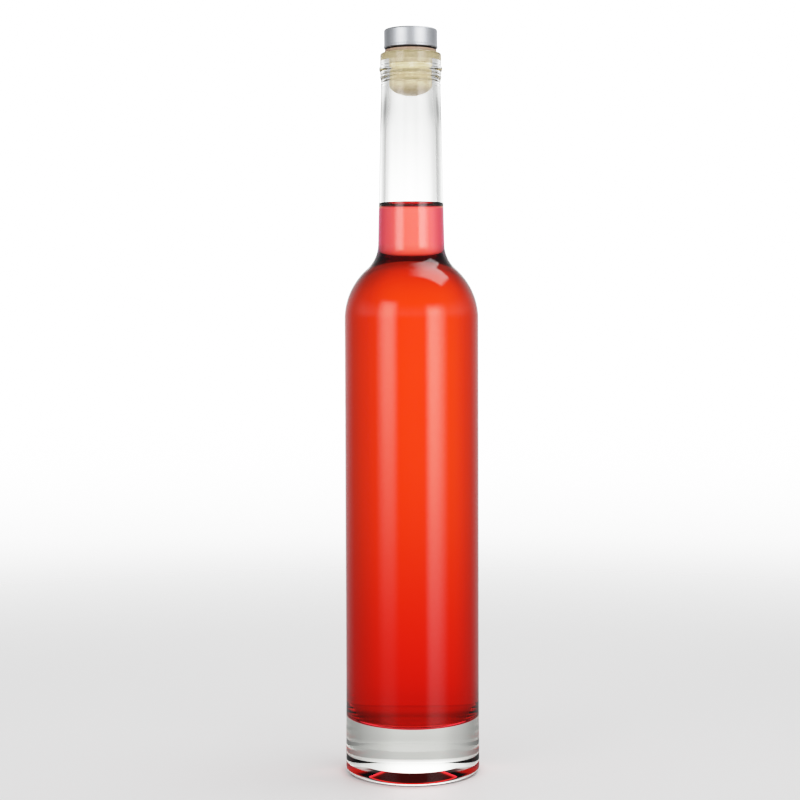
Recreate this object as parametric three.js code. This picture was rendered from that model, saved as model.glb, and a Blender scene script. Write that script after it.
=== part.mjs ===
import * as THREE from 'three';

// A 375 ml ice wine bottle: a slender clear glass cylinder on a thick base, with a
// ball-round shoulder and a long tapering neck. It holds red dessert wine up to the
// middle of the neck, and a push-in stopper with a metal cap closes it.
// Millimetres, +Z up, the origin at the centre of the circle that it stands on.

const SIDES = 48;            // facets round every turned piece, in step so that gaps stay even
const FIT_GAP = 0.3;         // clearance between a piece and its neighbour

const BODY_RADIUS = 28.5;
const BODY_WALL = 3.6;       // leaves 375 ml up to the wine's level
const SHOULDER_Z = 193.45;   // the straight side ends here and the ball of the shoulder starts
const NECK_FILLET = 14;      // hollow curve between the shoulder and the neck

const NECK_RADIUS = 14.15;   // where the neck grows out of the shoulder
const NECK_TOP_RADIUS = 12.62;
const NECK_TOP_Z = 291;
const NECK_BORE_RADIUS = 11.15;
const NECK_BORE_TOP_RADIUS = 10.6;
const NECK_BORE_TOP_Z = 270; // from here the bore closes in smoothly to the mouth

const LIP_Z = 305.4;         // the rim of the glass
const LIP_RADIUS = 12.95;
const LIP_EDGE = 0.8;
const MOUTH_RADIUS = 9.25;   // the standard 18.5 mm bore for a bar-top stopper
const MOUTH_Z = 292;         // the mouth's bore ends here and opens into the neck

const HEEL_RADIUS = 2.5;
const RING_INNER_RADIUS = 24;
const CONE_RADIUS = 13.5;    // the underside rises as a cone from the bearing ring to this radius
const CONE_RISE = 3.2;
const PUSH_UP = 3.7;         // the middle of the underside
const FLOOR_Z = 21.7;        // the middle of the inside floor, a shallow bowl over a thick base
const FLOOR_REACH = 16;      // the bowl's curve, from the wall inwards
const FLOOR_RISE = 4;

const WINE_LEVEL = 240;

const SHANK_RADIUS = 8.95;
const SHANK_Z = 287.8;
const FOOT_HEIGHT = 4.1;     // the shank's rounded foot
const FLANGE_RADIUS = 11;
const CAP_RADIUS = 11.4;
const CAP_Z = 307.4;
const CAP_TOP_Z = 315.5;
const CAP_EDGE = 0.9;
const CAP_BEAD = 0.35;

const point = (r, z) => new THREE.Vector2(r, z);

// Points of an arc round (r, z), from one angle to another in degrees; 0 points outwards, 90 up.
function arc(r, z, radius, from, to, steps) {
  return Array.from({ length: steps + 1 }, (_, i) => {
    const angle = THREE.MathUtils.degToRad(from + ((to - from) * i) / steps);
    return point(r + radius * Math.cos(angle), z + radius * Math.sin(angle));
  });
}

// The shoulder's ball up to the neck, seen from below upwards. Its curves share their centres
// with the outer ones, so that inset keeps the wall even.
function shoulder(inset, neckRadius) {
  const ball = BODY_RADIUS - inset;
  const fillet = NECK_FILLET + inset;
  const filletR = neckRadius + fillet;
  const rise = Math.sqrt((ball + fillet) ** 2 - filletR ** 2);
  const meet = THREE.MathUtils.radToDeg(Math.atan2(rise, filletR));
  return [
    ...arc(0, SHOULDER_Z, ball, 0, meet, 10),
    ...arc(filletR, SHOULDER_Z + rise, fillet, meet + 180, 180, 6).slice(1),
  ];
}

// The underside, from its centre out to the ring that the bottle stands on.
function underside() {
  return [
    point(0, PUSH_UP),
    point(CONE_RADIUS * 0.5, PUSH_UP - (PUSH_UP - CONE_RISE) * 0.25),
    point(CONE_RADIUS, CONE_RISE),
    point(RING_INNER_RADIUS, 0),
  ];
}

// The finish round the mouth: a narrow waist, a thin ring, a broad round ring and a plain lip.
function finish() {
  const waist = 12.47;
  const thinRing = 13.03;
  const groove = 12.88;
  const broadRing = 13.42;
  return [
    point(waist, 293),
    point(waist + 0.08, 293.7),
    point(thinRing, 294.9),
    point(thinRing, 295.8),
    point(groove, 296.4),
    point(groove + 0.34, 297.3),
    point(broadRing, 298.3),
    point(broadRing, 299.3),
    point(broadRing - 0.3, 300.1),
    point(LIP_RADIUS, 300.9),
    ...arc(LIP_RADIUS - LIP_EDGE, LIP_Z - LIP_EDGE, LIP_EDGE, 0, 90, 4),
  ];
}

// A quarter of an ellipse, from (r, z + rise) down and inwards to (r - reach, z).
function foot(r, z, reach, rise, steps) {
  return Array.from({ length: steps + 1 }, (_, i) => {
    const angle = (Math.PI / 2) * (i / steps);
    return point(r - reach * (1 - Math.cos(angle)), z + rise * (1 - Math.sin(angle)));
  });
}

// The inside from the mouth down to the centre of the floor, as the outline goes on down.
function inside() {
  return [
    ...arc(MOUTH_RADIUS + LIP_EDGE, LIP_Z - LIP_EDGE, LIP_EDGE, 90, 180, 4),
    ...Array.from({ length: 7 }, (_, i) => point(
      MOUTH_RADIUS + (NECK_BORE_TOP_RADIUS - MOUTH_RADIUS) * THREE.MathUtils.smoothstep(i / 6, 0, 1),
      MOUTH_Z - (MOUTH_Z - NECK_BORE_TOP_Z) * (i / 6),
    )),
    ...shoulder(BODY_WALL, NECK_BORE_RADIUS).reverse(),
    ...foot(BODY_RADIUS - BODY_WALL, FLOOR_Z, FLOOR_REACH, FLOOR_RISE, 8),
    point(0, FLOOR_Z),
  ];
}

function bottleOutline() {
  return [
    ...underside(),
    ...arc(BODY_RADIUS - HEEL_RADIUS, HEEL_RADIUS, HEEL_RADIUS, -90, 0, 6),
    ...shoulder(0, NECK_RADIUS),
    point(NECK_TOP_RADIUS, NECK_TOP_Z),
    ...finish(),
    ...inside(),
  ];
}

// The wine fills the inside up to its level, where the bore has narrowed by its taper.
function wineOutline() {
  const radius = BODY_RADIUS - BODY_WALL - FIT_GAP;
  const floor = FLOOR_Z + FIT_GAP;
  const sides = shoulder(BODY_WALL + FIT_GAP, NECK_BORE_RADIUS - FIT_GAP);
  const neckZ = sides.at(-1).y;
  const taper = (NECK_BORE_RADIUS - NECK_BORE_TOP_RADIUS) / (NECK_BORE_TOP_Z - neckZ);
  return [
    point(0, floor),
    ...foot(radius, floor, FLOOR_REACH - FIT_GAP, FLOOR_RISE - FIT_GAP, 8).reverse(),
    ...sides,
    point(sides.at(-1).x - taper * (WINE_LEVEL - neckZ), WINE_LEVEL),
    point(0, WINE_LEVEL),
  ];
}

// The stopper's shank with its rounded foot, and the flange that sits on the rim.
function corkOutline() {
  const flangeZ = LIP_Z + FIT_GAP;
  return [
    point(0, SHANK_Z),
    ...foot(SHANK_RADIUS, SHANK_Z, SHANK_RADIUS, FOOT_HEIGHT, 8).reverse().slice(1),
    point(SHANK_RADIUS, flangeZ),
    point(FLANGE_RADIUS, flangeZ),
    point(FLANGE_RADIUS, CAP_Z - FIT_GAP),
    point(0, CAP_Z - FIT_GAP),
  ];
}

// The cap is a short drum with a rolled bead at its foot and a rounded top edge.
function capOutline() {
  return [
    point(0, CAP_Z),
    point(CAP_RADIUS - CAP_BEAD, CAP_Z),
    point(CAP_RADIUS, CAP_Z + CAP_BEAD),
    point(CAP_RADIUS, CAP_Z + 3 * CAP_BEAD),
    point(CAP_RADIUS - 0.12, CAP_Z + 4 * CAP_BEAD),
    ...arc(CAP_RADIUS - 0.12 - CAP_EDGE, CAP_TOP_Z - CAP_EDGE, CAP_EDGE, 0, 90, 4),
    point(0, CAP_TOP_Z),
  ];
}

const clearGlass = new THREE.MeshStandardMaterial({
  color: 0xdfe4df, roughness: 0.04, metalness: 0, transparent: true, opacity: 0.35,
});
const redWine = new THREE.MeshStandardMaterial({ color: 0xe0301c, roughness: 0.1, metalness: 0 });
const paleStopper = new THREE.MeshStandardMaterial({ color: 0xd3c8ac, roughness: 0.45, metalness: 0 });
const satinAluminium = new THREE.MeshStandardMaterial({ color: 0xc9cdd2, roughness: 0.3, metalness: 1 });

// A piece turned round the bottle's axis.
function turned(name, outline, material) {
  const geometry = new THREE.LatheGeometry(outline, SIDES).rotateX(Math.PI / 2);
  const mesh = new THREE.Mesh(geometry, material);
  mesh.name = name;
  return mesh;
}

const bottle = new THREE.Group();
bottle.add(
  turned('glass_bottle', bottleOutline(), clearGlass),
  turned('wine', wineOutline(), redWine),
  turned('stopper_cork', corkOutline(), paleStopper),
  turned('stopper_cap', capOutline(), satinAluminium),
);

export default bottle;
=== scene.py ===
import functools
import math

import bmesh
import bpy
from mathutils import Euler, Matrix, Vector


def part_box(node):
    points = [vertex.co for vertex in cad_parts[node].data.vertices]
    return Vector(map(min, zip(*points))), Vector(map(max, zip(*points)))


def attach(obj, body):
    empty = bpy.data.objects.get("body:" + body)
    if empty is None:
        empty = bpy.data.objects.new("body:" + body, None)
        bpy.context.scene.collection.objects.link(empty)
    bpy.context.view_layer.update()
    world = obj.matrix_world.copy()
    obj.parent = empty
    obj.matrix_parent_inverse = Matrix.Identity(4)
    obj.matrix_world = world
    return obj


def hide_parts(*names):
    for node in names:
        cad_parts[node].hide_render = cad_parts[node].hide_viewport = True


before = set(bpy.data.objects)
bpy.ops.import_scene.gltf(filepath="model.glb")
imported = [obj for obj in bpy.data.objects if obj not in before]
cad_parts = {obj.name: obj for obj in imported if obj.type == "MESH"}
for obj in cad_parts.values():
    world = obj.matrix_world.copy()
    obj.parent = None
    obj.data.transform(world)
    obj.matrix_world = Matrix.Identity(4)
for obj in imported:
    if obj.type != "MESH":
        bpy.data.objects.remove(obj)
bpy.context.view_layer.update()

# A 375 ml ice wine bottle: clear glass, red wine to the middle of the neck, and a push-in
# stopper with a metal cap. Every piece is turned round the upright axis. Outlines are in
# millimetres, as (radius, height), and the meshes are in metres.
MM = 0.001
SIDES = 160                  # faces round every turned piece

# Sizes that the frame gives
BODY_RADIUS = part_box("glass_bottle")[1].x / MM
LIP_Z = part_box("glass_bottle")[1].z / MM
CAP_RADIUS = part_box("stopper_cap")[1].x / MM
CAP_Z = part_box("stopper_cap")[0].z / MM
CAP_TOP_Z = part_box("stopper_cap")[1].z / MM
SHANK_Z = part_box("stopper_cork")[0].z / MM
FLANGE_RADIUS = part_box("stopper_cork")[1].x / MM
WINE_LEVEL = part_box("wine")[1].z / MM

# Sizes of the glass that its box doesn't show
BODY_WALL = 3.6
SHOULDER_Z = 193.45          # the straight side ends here and the ball of the shoulder starts
NECK_FILLET = 14             # hollow curve between the shoulder and the neck
NECK_RADIUS = 14.15          # where the neck grows out of the shoulder
NECK_TOP_RADIUS = 12.62
NECK_TOP_Z = 291
NECK_BORE_RADIUS = 11.15
NECK_BORE_TOP_RADIUS = 10.6
NECK_BORE_TOP_Z = 270        # from here the bore closes in smoothly to the mouth
LIP_RADIUS = 12.95
LIP_EDGE = 0.8               # rounding of the lip's outer edge
RIM_EDGE = 0.8               # rounding of the lip's inner edge
MOUTH_RADIUS = 9.25
MOUTH_Z = 292                # the mouth's bore ends here and opens into the neck
HEEL_RADIUS = 2.5
RING_INNER_RADIUS = 24
CONE_RADIUS = 13.5           # the underside rises as a cone from the bearing ring to this radius
CONE_RISE = 3.2
PUSH_UP = 3.7                # the middle of the underside
FLOOR_Z = 21.7               # the middle of the inside floor
FLOOR_REACH = 16             # the bowl's curve, from the wall inwards
FLOOR_RISE = 4

# The stopper
SHANK_RADIUS = 9.1
FOOT_HEIGHT = 4.1            # the shank's rounded foot
RECESS = 0.65                # gap between the flange and the cap's edge, painted dark as shade in the stopper's finish
SQUEEZE = 0.05               # how far the stopper is pressed into the glass

# The wine against the glass
INTO_WALL = 0.12             # how far the wine reaches into the wall
GLASS_INDEX = 1.52
WINE_INDEX = 1.345
FLOOR_INDEX = 1.07           # less than the step from wine to glass, so that the floor mirrors less
CAPILLARY = 2.0              # capillary length, which sets how far the wine creeps up the glass
EDGE_SLOPE = 80              # slope of the wine's surface where it meets the glass, in degrees
WINE_EDGE_Z = WINE_LEVEL + 2 * CAPILLARY * math.sin(math.radians(EDGE_SLOPE / 2))
FILM_Z = WINE_LEVEL + 0.4    # above this the creeping edge is a pale film
FILM_FADE = 0.6              # height over which the tint fades out into the film


# Outlines

def arc(r, z, radius, start, end, steps):
    """Points of an arc round (r, z) between two angles in degrees; 0 points outwards, 90 up."""
    angles = [math.radians(start + (end - start) * i / steps) for i in range(steps + 1)]
    return [(r + radius * math.cos(a), z + radius * math.sin(a)) for a in angles]


def held(points, hold=0.25):
    """The outline with an extra point close to both ends of each long stretch.

    Smooth shading then bends only in the curves, and the straight stretches stay straight.
    """
    out = [points[0]]
    for (r0, z0), (r1, z1) in zip(points, points[1:]):
        length = math.hypot(r1 - r0, z1 - z0)
        if length > 4 * hold:
            for share in (hold / length, 1 - hold / length):
                out.append((r0 + (r1 - r0) * share, z0 + (z1 - z0) * share))
        out.append((r1, z1))
    return out


def shoulder(inset, neck_radius):
    """The ball of the shoulder and the hollow curve into the neck, from below upwards."""
    ball = BODY_RADIUS - inset
    fillet = NECK_FILLET + inset
    fillet_r = neck_radius + fillet
    rise = math.sqrt((ball + fillet) ** 2 - fillet_r ** 2)
    meet = math.degrees(math.atan2(rise, fillet_r))
    return (arc(0, SHOULDER_Z, ball, 0, meet, 28)
            + arc(fillet_r, SHOULDER_Z + rise, fillet, meet + 180, 180, 16)[1:])


def bore_radius(z):
    """The inside radius of the neck, which narrows evenly up to the mouth."""
    low_z = shoulder(BODY_WALL, NECK_BORE_RADIUS)[-1][1]
    share = (z - low_z) / (NECK_BORE_TOP_Z - low_z)
    return NECK_BORE_RADIUS + (NECK_BORE_TOP_RADIUS - NECK_BORE_RADIUS) * share


def underside():
    """A cone rises from the ring that the bottle stands on, to a nearly flat middle."""
    rise = PUSH_UP - CONE_RISE
    dome = (CONE_RADIUS ** 2 + rise ** 2) / (2 * rise)
    edge = math.degrees(math.asin(CONE_RADIUS / dome))
    return arc(0, PUSH_UP - dome, dome, 90, 90 - edge, 16) + [(RING_INNER_RADIUS, 0)]


def floor_bowl(deeper=0.0):
    """The inside of the floor, a shallow bowl, from the wall down to the centre."""
    wall = BODY_RADIUS - BODY_WALL + deeper
    reach = FLOOR_REACH + deeper
    rise = FLOOR_RISE + deeper
    low_z = FLOOR_Z - deeper
    turns = [math.radians(a) for a in range(0, 91, 3)]
    return [(wall - reach * (1 - math.cos(a)), low_z + rise * (1 - math.sin(a))) for a in turns]


def finish_rings():
    """The waist, the thin ring, the broad round ring and the plain lip round the mouth."""
    waist = arc(13.6, 293, 1.13, 215, 180, 4)
    thin_ring = arc(12.25, 295.35, 0.78, -40, 62, 10)
    groove = arc(13.6, 296.5, 0.7, 190, 150, 4)
    broad_ring = arc(11.7, 298.8, 1.72, -48, 48, 16)
    lip_z = 300.9
    lip = [(LIP_RADIUS, lip_z)] + arc(LIP_RADIUS - LIP_EDGE, LIP_Z - LIP_EDGE, LIP_EDGE, 0, 90, 10)
    return waist + thin_ring + groove + broad_ring + lip


def inside():
    """The inside from the rim down to the centre of the floor."""
    rim = arc(MOUTH_RADIUS + RIM_EDGE, LIP_Z - RIM_EDGE, RIM_EDGE, 90, 180, 8)
    shares = [i / 16 for i in range(17)]
    throat = [(MOUTH_RADIUS + (NECK_BORE_TOP_RADIUS - MOUTH_RADIUS) * share * share * (3 - 2 * share),
               MOUTH_Z + (NECK_BORE_TOP_Z - MOUTH_Z) * share) for share in shares]
    return (rim + throat
            + [(bore_radius(WINE_EDGE_Z), WINE_EDGE_Z)]
            + shoulder(BODY_WALL, NECK_BORE_RADIUS)[::-1]
            + floor_bowl() + [(0, FLOOR_Z)])


def bottle_outline():
    """The glass, from the middle of its underside up the outside and down the inside."""
    heel = arc(BODY_RADIUS - HEEL_RADIUS, HEEL_RADIUS, HEEL_RADIUS, -90, 0, 16)
    return (underside() + heel + shoulder(0, NECK_RADIUS)
            + [(NECK_TOP_RADIUS, NECK_TOP_Z)] + finish_rings() + inside())


def wine_outline():
    """The wine reaches just into the glass, and creeps up it a little at its edge.

    The edge is the curve that a liquid takes against a wall that it wets.
    """
    slopes = [math.radians(EDGE_SLOPE * 0.8 ** i) for i in range(16)]
    rises = [2 * CAPILLARY * math.sin(a / 2) for a in slopes]
    reach = [CAPILLARY * (2 * math.cos(a / 2) + math.log(math.tan(a / 4))) for a in slopes]
    edge_r = bore_radius(WINE_EDGE_Z)
    surface = [(edge_r - (reach[0] - across), WINE_LEVEL + rise) for across, rise in zip(reach, rises)]
    surface = [corner for corner in surface if corner[0] > 0.5] + [(0, WINE_LEVEL)]
    return ([(0, FLOOR_Z - INTO_WALL)] + floor_bowl(INTO_WALL)[::-1]
            + shoulder(BODY_WALL - INTO_WALL, NECK_BORE_RADIUS + INTO_WALL)
            + [(edge_r + INTO_WALL, WINE_EDGE_Z)] + surface)


def cork_outline():
    """The shank with its rounded foot, and the flange that sits on the rim under the cap.

    Above the flange it goes on, narrower, into the cap.
    """
    straight_z = 300.5
    flare_z = 303.2
    lower_edge = 0.2
    upper_edge = 0.3
    above_rim = 0.02
    plug_radius = FLANGE_RADIUS - 2.2
    plug_z = CAP_Z + 0.55
    foot = [(SHANK_RADIUS * math.sin(math.radians(a)),
             SHANK_Z + FOOT_HEIGHT * (1 - math.cos(math.radians(a)))) for a in range(10, 91, 5)]
    return ([(0, SHANK_Z)] + foot
            + [(SHANK_RADIUS, straight_z), (MOUTH_RADIUS + SQUEEZE, flare_z)]
            + arc(MOUTH_RADIUS + RIM_EDGE, LIP_Z - RIM_EDGE, RIM_EDGE - SQUEEZE, 180, 90, 6)
            + arc(FLANGE_RADIUS - lower_edge, LIP_Z + above_rim + lower_edge, lower_edge, -90, 0, 4)
            + arc(FLANGE_RADIUS - upper_edge, CAP_Z - RECESS - upper_edge, upper_edge, 0, 90, 4)
            + [(plug_radius, CAP_Z - RECESS), (plug_radius, plug_z), (0, plug_z)])


def cap_outline():
    """A thin metal shell: a flat top, a rounded edge and a rolled bead at the foot."""
    shell = 0.45
    edge = 0.9
    bead = 0.35
    hem = 0.3
    side = CAP_RADIUS - 0.12
    return ([(0, CAP_TOP_Z - shell), (side - shell, CAP_TOP_Z - shell), (side - shell, CAP_Z + hem)]
            + arc(CAP_RADIUS - bead, CAP_Z + bead, bead, -150, 0, 10)
            + [(CAP_RADIUS, CAP_Z + 2.6 * bead), (side, CAP_Z + 3.4 * bead)]
            + arc(side - edge, CAP_TOP_Z - edge, edge, 0, 90, 10)
            + [(0, CAP_TOP_Z)])


def new_object(name, bm):
    """An object in the scene with the shape that was built."""
    mesh = bpy.data.meshes.new(name)
    bm.to_mesh(mesh)
    bm.free()
    made = bpy.data.objects.new(name, mesh)
    bpy.context.scene.collection.objects.link(made)
    return made


def turned(name, outline):
    """A piece made by turning an outline once round the axis."""
    bm = bmesh.new()
    corners = [bm.verts.new((r * MM, 0, z * MM)) for r, z in held(outline)]
    edges = [bm.edges.new(pair) for pair in zip(corners, corners[1:])]
    bmesh.ops.spin(bm, geom=corners + edges, cent=(0, 0, 0), axis=(0, 0, 1), dvec=(0, 0, 0),
                   angle=math.tau, steps=SIDES, use_merge=True, use_duplicate=False)
    bmesh.ops.remove_doubles(bm, verts=bm.verts, dist=1e-6)
    bmesh.ops.recalc_face_normals(bm, faces=bm.faces)
    for face in bm.faces:
        face.smooth = True
    return new_object(name, bm)


# Shader steps

def grain_group():
    """The mottled variation that every finish has: a noise taken between two limits."""
    group = bpy.data.node_groups.new("grain", "ShaderNodeTree")
    face = group.interface
    face.new_socket("Place", in_out="INPUT", socket_type="NodeSocketVector")
    face.new_socket("Stretch", in_out="INPUT", socket_type="NodeSocketVector")
    for name in ("Scale", "Detail", "Low", "High", "From", "To"):
        face.new_socket(name, in_out="INPUT", socket_type="NodeSocketFloat")
    face.new_socket("Amount", in_out="OUTPUT", socket_type="NodeSocketFloat")
    given = group.nodes.new("NodeGroupInput").outputs
    stretch = group.nodes.new("ShaderNodeMapping")
    group.links.new(given["Place"], stretch.inputs["Vector"])
    group.links.new(given["Stretch"], stretch.inputs["Scale"])
    texture = group.nodes.new("ShaderNodeTexNoise")
    group.links.new(stretch.outputs["Vector"], texture.inputs["Vector"])
    group.links.new(given["Scale"], texture.inputs["Scale"])
    group.links.new(given["Detail"], texture.inputs["Detail"])
    limits = group.nodes.new("ShaderNodeMapRange")
    limits.interpolation_type = "SMOOTHSTEP"
    group.links.new(texture.outputs["Fac"], limits.inputs["Value"])
    for name, socket in (("Low", "From Min"), ("High", "From Max"), ("From", "To Min"), ("To", "To Max")):
        group.links.new(given[name], limits.inputs[socket])
    group.links.new(limits.outputs["Result"], group.nodes.new("NodeGroupOutput").inputs["Amount"])
    return group


GRAIN = grain_group()


def grain(tree, place, scale, detail=3, stretch=(1, 1, 1), limits=(0, 1), values=(0, 1)):
    """The shared grain in a material, with its limits and the values that it runs between."""
    node = tree.nodes.new("ShaderNodeGroup")
    node.node_tree = GRAIN
    tree.links.new(place, node.inputs["Place"])
    node.inputs["Stretch"].default_value = stretch
    for name, number in (("Scale", scale), ("Detail", detail), ("Low", limits[0]), ("High", limits[1]),
                         ("From", values[0]), ("To", values[1])):
        node.inputs[name].default_value = number
    return node.outputs["Amount"]


def ramp(tree, value, low, high, out_low=0.0, out_high=1.0):
    """A value mapped smoothly from one range to another and held at its ends."""
    node = tree.nodes.new("ShaderNodeMapRange")
    node.interpolation_type = "SMOOTHSTEP"
    for socket, number in (("From Min", low), ("From Max", high), ("To Min", out_low), ("To Max", out_high)):
        node.inputs[socket].default_value = number
    tree.links.new(value, node.inputs["Value"])
    return node.outputs["Result"]


def apart(tree, vector):
    """The three parts of a vector."""
    node = tree.nodes.new("ShaderNodeSeparateXYZ")
    tree.links.new(vector, node.inputs["Vector"])
    return [node.outputs[axis] for axis in "XYZ"]


def together(tree, x, y):
    """A vector of two values, with nothing along its third axis."""
    node = tree.nodes.new("ShaderNodeCombineXYZ")
    tree.links.new(x, node.inputs["X"])
    tree.links.new(y, node.inputs["Y"])
    return node.outputs["Vector"]


def length_of(tree, vector):
    """The length of a vector."""
    node = tree.nodes.new("ShaderNodeVectorMath")
    node.operation = "LENGTH"
    tree.links.new(vector, node.inputs[0])
    return node.outputs["Value"]


def two_colours(tree, value, first, second):
    """A blend of two colours by a value; each colour is a tuple or a socket."""
    node = tree.nodes.new("ShaderNodeMix")
    node.data_type = "RGBA"
    tree.links.new(value, node.inputs["Factor"])
    for name, colour in (("A", first), ("B", second)):
        if isinstance(colour, tuple):
            node.inputs[name].default_value = (*colour, 1)
        else:
            tree.links.new(colour, node.inputs[name])
    return node.outputs["Result"]


def bump(tree, height, shader, depth, strength=1.0):
    """Relief of the given depth in metres on a shader."""
    node = tree.nodes.new("ShaderNodeBump")
    node.inputs["Strength"].default_value = strength
    node.inputs["Distance"].default_value = depth
    tree.links.new(height, node.inputs["Height"])
    tree.links.new(node.outputs["Normal"], shader.inputs["Normal"])


def absorption(tree, colour, density):
    """Light is lost along its way inside the piece; the density is per metre."""
    node = tree.nodes.new("ShaderNodeVolumeAbsorption")
    node.inputs["Color"].default_value = (*colour, 1)
    node.inputs["Density"].default_value = density
    tree.links.new(node.outputs["Volume"], tree.nodes["Material Output"].inputs["Volume"])


def op(tree, operation, *values):
    """One step of arithmetic; each value is a number or a socket."""
    node = tree.nodes.new("ShaderNodeMath")
    node.operation = operation
    for socket, value in zip(node.inputs, values):
        if isinstance(value, (int, float)):
            socket.default_value = value
        else:
            tree.links.new(value, socket)
    return node.outputs[0]


def product(tree, *values):
    """Numbers and sockets multiplied."""
    return functools.reduce(lambda first, second: op(tree, "MULTIPLY", first, second), values)


def total(tree, *values):
    """Numbers and sockets added."""
    return functools.reduce(lambda first, second: op(tree, "ADD", first, second), values)


def graded(tree, value, low, high, *stops):
    """A light level read off (value, level) stops, from low to high."""
    node = tree.nodes.new("ShaderNodeValToRGB")
    elements = node.color_ramp.elements
    top = max(level for _, level in stops)
    elements.remove(elements[1])
    for i, (at, level) in enumerate(stops):
        position = (at - low) / (high - low)
        element = elements[0] if i == 0 else elements.new(position)
        element.position = position
        element.color = (level / top, level / top, level / top, 1)
    share = op(tree, "DIVIDE", op(tree, "SUBTRACT", value, low), high - low)
    tree.links.new(share, node.inputs["Fac"])
    return op(tree, "MULTIPLY", node.outputs["Color"], top)


# Materials

def new_material(name):
    """A material with its Principled shader, its node tree and the piece's own coordinates."""
    material = bpy.data.materials.new(name)
    material.use_nodes = True
    tree = material.node_tree
    shader = tree.nodes["Principled BSDF"]
    place = tree.nodes.new("ShaderNodeTexCoord").outputs["Object"]
    return material, tree, shader, place


def clear_glass(name, index):
    """Moulded flint glass: slightly wavy, with faint handling marks, grey-green where thick.

    Where the wine wets it, the index is the step from wine to glass.
    """
    material, tree, shader, place = new_material(name)
    shader.inputs["Base Color"].default_value = (0.985, 0.992, 0.985, 1)
    shader.inputs["IOR"].default_value = index
    shader.inputs["Transmission Weight"].default_value = 1
    marks = grain(tree, place, 90, 4, stretch=(1, 1, 0.35), limits=(0.45, 0.75), values=(0.0, 0.03))
    tree.links.new(marks, shader.inputs["Roughness"])
    waves = grain(tree, place, 45, 1, stretch=(1, 1, 0.4))
    bump(tree, waves, shader, depth=0.00003)
    absorption(tree, colour=(0.56, 0.62, 0.05), density=1.2)
    return material


# The wine's tints on its way up, each as two close colours that the haze runs between
FLOOR_TINT = ((1.0, 0.03, 0.05), (1.0, 0.025, 0.045))
BODY_TINT = ((1.0, 0.12, 0.3), (1.0, 0.11, 0.27))
# Painted shade: the wine is tinted darker in the shoulder than above and below it.
SHOULDER_SHADE_TINT = ((0.68, 0.05, 0.12), (0.66, 0.045, 0.11))
NECK_TINT = ((1.0, 0.15, 0.76), (1.0, 0.14, 0.72))
FILM_TINT = (1.0, 0.93, 0.93)

# Heights in metres between which one tint goes over into the next
BODY_CHANGE = (0.02, 0.13)
SHOULDER_SHADE_CHANGE = (0.199, 0.214)
NECK_CHANGE = (0.214, 0.222)


def red_wine(name, index, film_z):
    """Clear red wine: deep red low down, darker in the shoulder as painted shade, and pink in the neck.

    From film_z upwards it loses its tint. The rest of its colour comes from its thickness.
    """
    material, tree, shader, place = new_material(name)
    shader.inputs["IOR"].default_value = index
    shader.inputs["Roughness"].default_value = 0
    shader.inputs["Transmission Weight"].default_value = 1
    z = apart(tree, place)[2]
    haze = grain(tree, place, 30, 2, limits=(0.3, 0.7))
    tint = two_colours(tree, haze, *FLOOR_TINT)
    changes = ((BODY_CHANGE, BODY_TINT), (SHOULDER_SHADE_CHANGE, SHOULDER_SHADE_TINT), (NECK_CHANGE, NECK_TINT))
    for heights, colours in changes:
        tint = two_colours(tree, ramp(tree, z, *heights), tint, two_colours(tree, haze, *colours))
    film = ramp(tree, z, film_z * MM, (film_z + FILM_FADE) * MM)
    tree.links.new(two_colours(tree, film, tint, FILM_TINT), shader.inputs["Base Color"])
    absorption(tree, colour=(0.9946, 0.68, 0.0), density=102)
    return material


def pale_stopper():
    """Moulded synthetic stopper: pale beige with a fine mealy grain.

    Its foot and its flange are painted browner, and the recess under the cap painted dark, as shade on the
    same pale beige plastic.
    """
    material, tree, shader, place = new_material("pale_stopper")
    z = apart(tree, place)[2]
    mealy = grain(tree, place, 900, 5, limits=(0.35, 0.7))
    # Painted shade: the foot is a darker brown for the shade under it.
    foot = two_colours(tree, mealy, (0.52, 0.38, 0.21), (0.60, 0.46, 0.28))
    shank = two_colours(tree, mealy, (0.79, 0.64, 0.36), (0.87, 0.73, 0.45))
    # Painted shade: the flange is the same plastic, darker for the shade under the cap's edge.
    flange = two_colours(tree, mealy, (0.42, 0.28, 0.19), (0.48, 0.33, 0.24))
    # Painted shade: near black in the recess under the cap.
    recess = (0.05, 0.035, 0.025)
    above_foot_shade = ramp(tree, z, (SHANK_Z + 0.2) * MM, (SHANK_Z + 4.2) * MM)
    flange_shade_mask = ramp(tree, z, (LIP_Z - 0.3) * MM, (LIP_Z + 0.3) * MM)
    recess_shade_mask = ramp(tree, z, (CAP_Z - RECESS - 0.07) * MM, (CAP_Z - RECESS + 0.03) * MM)
    colour = two_colours(tree, above_foot_shade, foot, shank)
    colour = two_colours(tree, flange_shade_mask, colour, flange)
    colour = two_colours(tree, recess_shade_mask, colour, recess)
    tree.links.new(colour, shader.inputs["Base Color"])
    cloudy = grain(tree, place, 160, 3, limits=(0.3, 0.7), values=(0.38, 0.55))
    tree.links.new(cloudy, shader.inputs["Roughness"])
    bump(tree, grain(tree, place, 900, 5), shader, depth=0.00004, strength=0.6)
    return material


def satin_aluminium():
    """Spun aluminium: the brush lines run round the axis on the side and on the top."""
    material, tree, shader, place = new_material("satin_aluminium")
    x, y, z = apart(tree, place)
    rings = together(tree, length_of(tree, together(tree, x, y)), z)
    lines = grain(tree, rings, 5000, 2, limits=(0.3, 0.7))
    metal = two_colours(tree, lines, (0.86, 0.89, 0.94), (0.9, 0.93, 0.97))
    tree.links.new(metal, shader.inputs["Base Color"])
    shader.inputs["Metallic"].default_value = 1
    satin = grain(tree, rings, 5000, 2, limits=(0.3, 0.7), values=(0.44, 0.52))
    tree.links.new(satin, shader.inputs["Roughness"])
    bump(tree, lines, shader, depth=0.000001, strength=0.3)
    return material


# Pieces

def piece_for(node, name, outline, material):
    """A turned piece that stands for a CAD node, with its finish."""
    piece = turned(name, outline)
    piece.data.materials.append(material)
    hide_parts(node)
    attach(piece, "root")
    return piece


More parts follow.
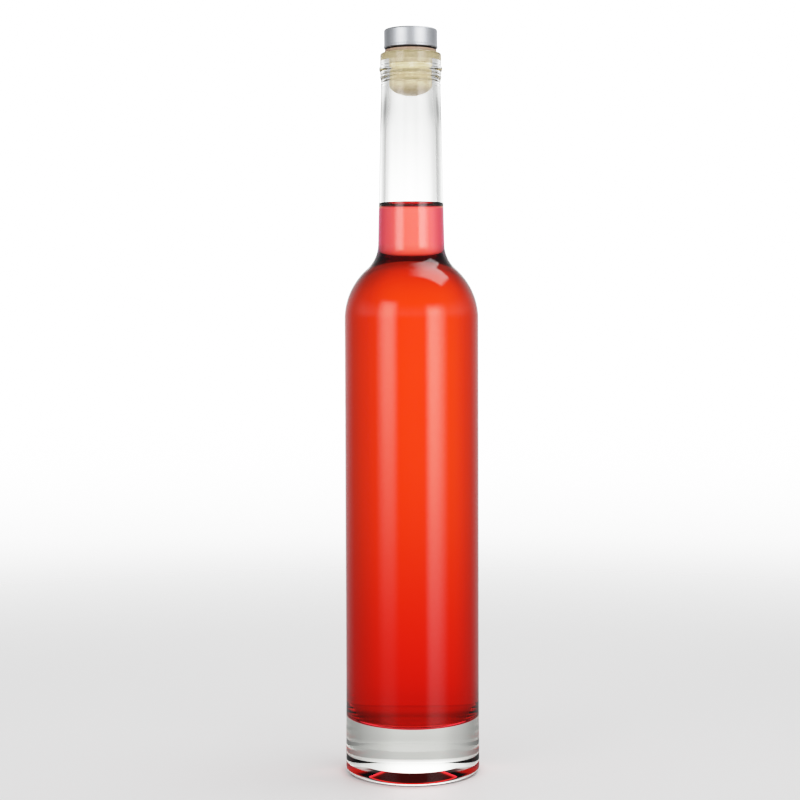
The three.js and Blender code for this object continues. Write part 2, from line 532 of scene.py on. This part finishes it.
def wet(glass):
    """The glass's inner faces below the wine's edge take the two wetted finishes.

    The middle of the floor faces straight up, and counts as facing inwards.
    """
    glass.data.materials.append(clear_glass("wetted_glass", GLASS_INDEX / WINE_INDEX))
    glass.data.materials.append(clear_glass("wetted_floor", FLOOR_INDEX))
    nearly_none = 1e-4
    margin = 0.1
    for face in glass.data.polygons:
        z = face.center.z / MM
        outwards = face.normal.x * face.center.x + face.normal.y * face.center.y
        if outwards < nearly_none and FLOOR_Z - margin < z < WINE_EDGE_Z:
            face.material_index = 2 if z < FLOOR_Z + FLOOR_RISE else 1


def open_surface(wine):
    """The wine's top takes the finish that meets the air, as far as it shows inside the glass."""
    wine.data.materials.append(red_wine("wine_surface", WINE_INDEX, 0))
    margin = 0.01
    for face in wine.data.polygons:
        z = face.center.z / MM
        across = math.hypot(face.center.x, face.center.y) / MM
        if z > WINE_LEVEL - margin and across < bore_radius(z) + margin:
            face.material_index = 1


# The wine reaches a little into the glass, so the step from glass to wine is taken on the inside
# of the glass, and the wine's own side takes none. Only its free surface has the wine's index.
NO_STEP = 1.0
glass_finish = clear_glass("clear_glass", GLASS_INDEX)
wine_finish = red_wine("red_wine", NO_STEP, FILM_Z)
wet(piece_for("glass_bottle", "bottle_glass", bottle_outline(), glass_finish))
open_surface(piece_for("wine", "bottle_wine", wine_outline(), wine_finish))
piece_for("stopper_cork", "stopper_shank", cork_outline(), pale_stopper())
piece_for("stopper_cap", "stopper_metal_cap", cap_outline(), satin_aluminium())


# Studio, in metres and degrees

def floor():
    """A pale floor round the bottle that melts into the pale background further out."""
    radius = 1.6
    fade = (0.12, 0.9)
    bm = bmesh.new()
    bmesh.ops.create_circle(bm, cap_ends=True, segments=96, radius=radius)
    plate = new_object("studio_floor", bm)
    material, tree, shader, place = new_material("pale_floor")
    shader.inputs["Base Color"].default_value = (0.8, 0.8, 0.8, 1)
    shader.inputs["Roughness"].default_value = 0.6
    tree.links.new(ramp(tree, length_of(tree, place), *fade, 1, 0), shader.inputs["Alpha"])
    plate.data.materials.append(material)
    plate.visible_glossy = False
    plate.visible_transmission = False


def wall_glow(tree, low, high):
    """The light wall's levels: two glows and a rim, each round the wall and up it.

    The wall is the same before the bottle as behind it. The first glow is wide, brightest behind
    the bottle, and fades downwards and near the top. The second is narrow behind the bottle, comes
    again at both sides, and is brightest high up. The rim lights the sides of the wall's top, which
    keeps the rings round the mouth bright.
    """
    off_centre = 4.0             # the brightest line is this many degrees to the left
    x, y, z = apart(tree, tree.nodes.new("ShaderNodeTexCoord").outputs["Object"])
    turn = product(tree, op(tree, "ARCTAN2", x, y), 180 / math.pi)
    aside = op(tree, "PINGPONG", op(tree, "ABSOLUTE", total(tree, turn, off_centre)), 90.0)
    across = graded(tree, aside, 0, 90, (0, 1), (12, 0.99), (15, 0.95), (23, 0.78), (33, 0.62),
                    (43, 0.47), (50, 0.42), (60, 0.38), (72, 0.4), (82, 0.6), (90, 0.7))
    upwards = graded(tree, z, low, high, (-0.45, 0.05), (-0.39, 0.06), (-0.36, 0.1), (-0.27, 0.44),
                     (-0.21, 0.75), (-0.15, 0.8), (-0.135, 0.66), (-0.11, 0.7), (-0.09, 0.9),
                     (-0.075, 1.05), (0.2, 1.0), (0.24, 1.3), (0.3, 1.25), (0.36, 1.15), (0.41, 0.9),
                     (0.46, 0.25), (0.54, 0.08))
    narrow_across = graded(tree, aside, 0, 90, (0, 1), (9, 0.93), (15, 0.67), (19, 0.42), (23, 0.25),
                           (32, 0.12), (43, 0.08), (74, 0.1), (82, 0.6), (90, 0.8))
    narrow_upwards = graded(tree, z, low, high, (-0.45, 0), (-0.08, 0.03), (-0.05, 0.4), (-0.02, 0.75),
                            (0.018, 1.25), (0.055, 1.8), (0.093, 2.2), (0.15, 2.7), (0.22, 2.8),
                            (0.265, 2.9), (0.32, 1.05), (0.39, 0.95), (0.45, 0.1), (0.5, 0.0))
    rim_across = graded(tree, aside, 0, 90, (0, 0), (36, 0), (48, 0.5), (80, 0.6), (90, 0.5))
    rim_upwards = ramp(tree, z, 0.34, 0.46)
    return total(tree, product(tree, upwards, across), product(tree, narrow_upwards, narrow_across),
                 product(tree, rim_across, rim_upwards))


def light_wall():
    """A round wall of soft light that only the glass and the wine see through to."""
    low, high, radius = -0.45, 0.62, 0.55
    bm = bmesh.new()
    bmesh.ops.create_cone(bm, cap_ends=False, segments=128, radius1=radius, radius2=radius,
                          depth=high - low)
    bmesh.ops.translate(bm, verts=bm.verts, vec=(0, 0, (high + low) / 2))
    wall = new_object("light_wall", bm)
    material = bpy.data.materials.new("wall_light")
    material.use_nodes = True
    tree = material.node_tree
    tree.nodes.clear()
    emission = tree.nodes.new("ShaderNodeEmission")
    tree.links.new(wall_glow(tree, low, high), emission.inputs["Strength"])
    output = tree.nodes.new("ShaderNodeOutputMaterial")
    tree.links.new(emission.outputs["Emission"], output.inputs["Surface"])
    material.cycles.emission_sampling = "NONE"
    wall.data.materials.append(material)
    wall.visible_camera = False
    wall.visible_diffuse = False
    wall.visible_glossy = False
    wall.visible_shadow = False


def softboxes(tree, front_turn, z):
    """Two tall boxes of light beside the camera.

    Each has a soft outer edge, a soft inner edge, a foot that fades and a top that fades.
    """
    left = product(tree, ramp(tree, front_turn, -66, -44), ramp(tree, front_turn, -20, -36),
                   ramp(tree, z, -0.2, 0.03, 0.05, 1), ramp(tree, z, 0.54, 0.36, 0, 3.6))
    right = product(tree, ramp(tree, front_turn, 68, 40), ramp(tree, front_turn, 20, 34),
                    ramp(tree, z, -0.25, 0.0, 0.08, 1), ramp(tree, z, 0.46, 0.2, 0, 4.6))
    return total(tree, left, right)


def overhead_box(tree, x, y, z):
    """A small flat box of light overhead, to the right, with soft edges on its four sides."""
    level = 4.0
    lowest = 0.05
    high = op(tree, "MAXIMUM", z, lowest)
    across = op(tree, "DIVIDE", x, high)
    along = op(tree, "DIVIDE", y, high)
    return product(tree, ramp(tree, across, -0.1, 0.35), ramp(tree, across, 1.0, 0.8),
                   ramp(tree, along, -0.28, -0.14), ramp(tree, along, 0.56, 0.4),
                   ramp(tree, z, 0.3, 0.4), level)


def back_light(tree, front_turn, z):
    """Light from behind the bottle that only grazes its edges."""
    back_turn = op(tree, "SUBTRACT", 180.0, op(tree, "ABSOLUTE", front_turn))
    across = graded(tree, back_turn, 0, 180, (0, 2.3), (6, 2.0), (22, 0.65), (36, 0.5), (61, 0.06),
                    (90, 0), (180, 0))
    upwards = graded(tree, z, -1, 1, (-1, 0.1), (-0.235, 0.12), (-0.2, 0.55), (-0.1, 0.8), (-0.02, 1),
                     (0.3, 1), (0.55, 0.12), (1, 0.12))
    return product(tree, across, upwards)


def front_fill(tree, front_turn, z):
    """A weak light from the front and the sides, for the metal cap."""
    across = graded(tree, front_turn, -180, 180, (-180, 0), (-122, 0), (-108, 0.15), (-92, 0.5),
                    (-70, 0.45), (0, 0.42), (50, 0.4), (75, 0.55), (92, 0.5), (110, 0.2), (130, 0.05),
                    (180, 0))
    return product(tree, across, ramp(tree, z, 0.0, 0.17), ramp(tree, z, 0.45, 0.15))


def choose(tree, switch, chosen, otherwise):
    """One of two light levels, by a switch that is 1 or 0."""
    node = tree.nodes.new("ShaderNodeMix")
    for socket, value in (("Factor", switch), ("A", otherwise), ("B", chosen)):
        tree.links.new(value, node.inputs[socket])
    return node.outputs["Result"]


def studio():
    """Soft light all round, with a level of its own for each way of seeing it.

    The camera sees a plain background. Shiny pieces mirror the boxes and the fill, glass shows
    what lies beyond the light wall, and matt pieces are lit softly from the front and above.
    """
    world = bpy.data.worlds.new("studio")
    bpy.context.scene.world = world
    world.use_nodes = True
    tree = world.node_tree
    x, y, z = apart(tree, tree.nodes.new("ShaderNodeTexCoord").outputs["Generated"])
    front_turn = product(tree, op(tree, "ARCTAN2", x, product(tree, y, -1.0)), 180 / math.pi)

    plain = ramp(tree, z, -0.22, -0.02, 0.72, 3.92)
    all_round = 0.08
    mirrored = total(tree, softboxes(tree, front_turn, z), overhead_box(tree, x, y, z),
                     back_light(tree, front_turn, z), front_fill(tree, front_turn, z), all_round)
    beyond = graded(tree, z, -1, 1, (-1, 0.1), (-0.74, 0.14), (-0.62, 0.32), (-0.4, 0.6), (0.3, 0.6),
                    (0.5, 0.05), (1, 0.04))
    from_front = product(tree, op(tree, "MINIMUM", y, 0), -0.7)
    from_above = product(tree, op(tree, "MAXIMUM", z, 0), 0.5)
    soft = total(tree, from_front, from_above, 0.55)

    path = tree.nodes.new("ShaderNodeLightPath").outputs
    seen = choose(tree, path["Is Diffuse Ray"], soft, mirrored)
    seen = choose(tree, path["Is Transmission Ray"], beyond, seen)
    seen = choose(tree, path["Is Camera Ray"], plain, seen)
    background = tree.nodes["Background"]
    background.inputs["Color"].default_value = (1, 1, 1, 1)
    tree.links.new(seen, background.inputs["Strength"])


def camera():
    """The photo's view: level with the shoulder, pitched down a little."""
    distance = 0.7548
    height = 0.192
    pitch, roll, yaw = (math.radians(a) for a in (2.50, 0.19, 0.37))
    data = bpy.data.cameras.new("camera")
    data.lens = 79.85
    data.sensor_width = 36
    eye = bpy.data.objects.new("camera", data)
    bpy.context.scene.collection.objects.link(eye)
    eye.location = (0, -distance, height)
    eye.rotation_euler = Euler((math.pi / 2 - pitch, roll, yaw), "XYZ")
    bpy.context.scene.camera = eye


def photographic_tones():
    """A tone curve with a soft shoulder, so that bright light rolls off as on film."""
    view = bpy.context.scene.view_settings
    view.view_transform = "Standard"
    view.use_curve_mapping = True
    mapping = view.curve_mapping
    white = 4.0
    mapping.white_level = (white, white, white)
    all_colours = mapping.curves[3]
    for level, shown in ((0.08, 0.08), (0.5, 0.5), (0.92, 0.73), (1.52, 0.85), (2.5, 0.96)):
        all_colours.points.new(level / white, shown)
    mapping.update()


def light_paths():
    """Enough steps for light that crosses glass, wine and glass again, and sharp mirroring."""
    cycles = bpy.context.scene.cycles
    cycles.max_bounces = 24
    cycles.transmission_bounces = 24
    cycles.glossy_bounces = 8
    cycles.blur_glossy = 0.0


floor()
light_wall()
studio()
camera()
photographic_tones()
light_paths()
